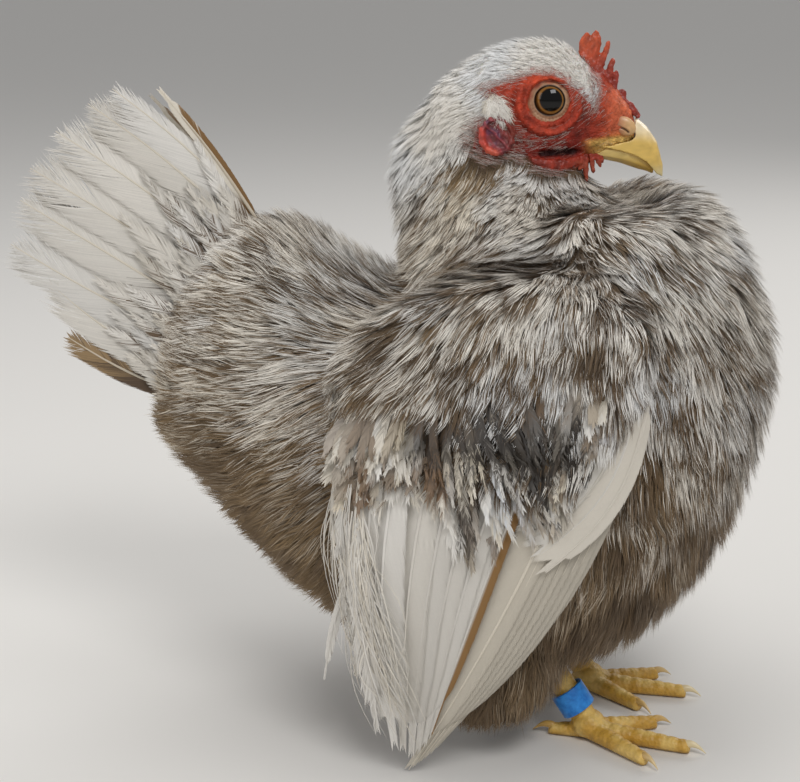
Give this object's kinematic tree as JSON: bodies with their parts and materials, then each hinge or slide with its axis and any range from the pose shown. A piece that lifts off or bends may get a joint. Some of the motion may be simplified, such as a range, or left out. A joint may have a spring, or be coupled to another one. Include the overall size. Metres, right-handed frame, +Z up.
{
  "type": "japanese bantam hen",
  "caption": "Life-size model of a Japanese bantam hen standing with its wings hung to the floor, tail fanned and head up, in mottled white and brown plumage with a plain leg band.",
  "frame": {"origin": "on the floor under the middle of the bird's bounding box", "axes": "+X towards the breast and bill, +Y to the bird's left, +Z up; the head is turned a few degrees to the left"},
  "size_m": [0.229, 0.1348, 0.2062],
  "materials": {
    "torso": "body feathers mottled white and grey-brown",
    "neck": "cream and brown hackle feathers",
    "head": "white head feathers round a bare red face",
    "tail": "white and cream tail feathers with frayed tips",
    "thigh_left": "fluffy grey-brown belly feathers",
    "thigh_right": "fluffy grey-brown belly feathers",
    "wing_left": "wing coverts mottled white and brown",
    "wing_left_secondaries": "smooth white flight feathers",
    "wing_left_primaries": "smooth cream-white flight feathers",
    "wing_right": "wing coverts mottled white and brown",
    "wing_right_secondaries": "smooth white flight feathers",
    "wing_right_primaries": "smooth cream-white flight feathers",
    "bill_upper": "yellow horn, paler along the ridge",
    "bill_lower": "yellow horn",
    "comb": "finely pimpled red skin",
    "earlobe_left": "smooth red skin",
    "earlobe_right": "smooth red skin",
    "wattle_left": "folded red skin",
    "wattle_right": "folded red skin",
    "eye_left": "wet eye with a thin brown iris",
    "eye_right": "wet eye with a thin brown iris",
    "shank_left": "yellow scaled skin",
    "shank_right": "yellow scaled skin",
    "foot_left": "yellow scaled skin",
    "foot_right": "yellow scaled skin",
    "leg_band": "plain blue plastic"
  },
  "bodies": {
    "root": {"torso": "torso", "neck": "neck", "head": "head", "tail": "tail", "thigh_left": "thigh_left", "thigh_right": "thigh_right", "wing_left": "wing_left", "wing_left_secondaries": "wing_left_secondaries", "wing_left_primaries": "wing_left_primaries", "wing_right": "wing_right", "wing_right_secondaries": "wing_right_secondaries", "wing_right_primaries": "wing_right_primaries", "bill_upper": "bill_upper", "bill_lower": "bill_lower", "comb": "comb", "earlobe_left": "earlobe_left", "earlobe_right": "earlobe_right", "wattle_left": "wattle_left", "wattle_right": "wattle_right", "eye_left": "eye_left", "eye_right": "eye_right", "shank_left": "shank_left", "shank_right": "shank_right", "foot_left": "foot_left", "foot_right": "foot_right", "leg_band": "leg_band"}
  },
  "joints": []
}
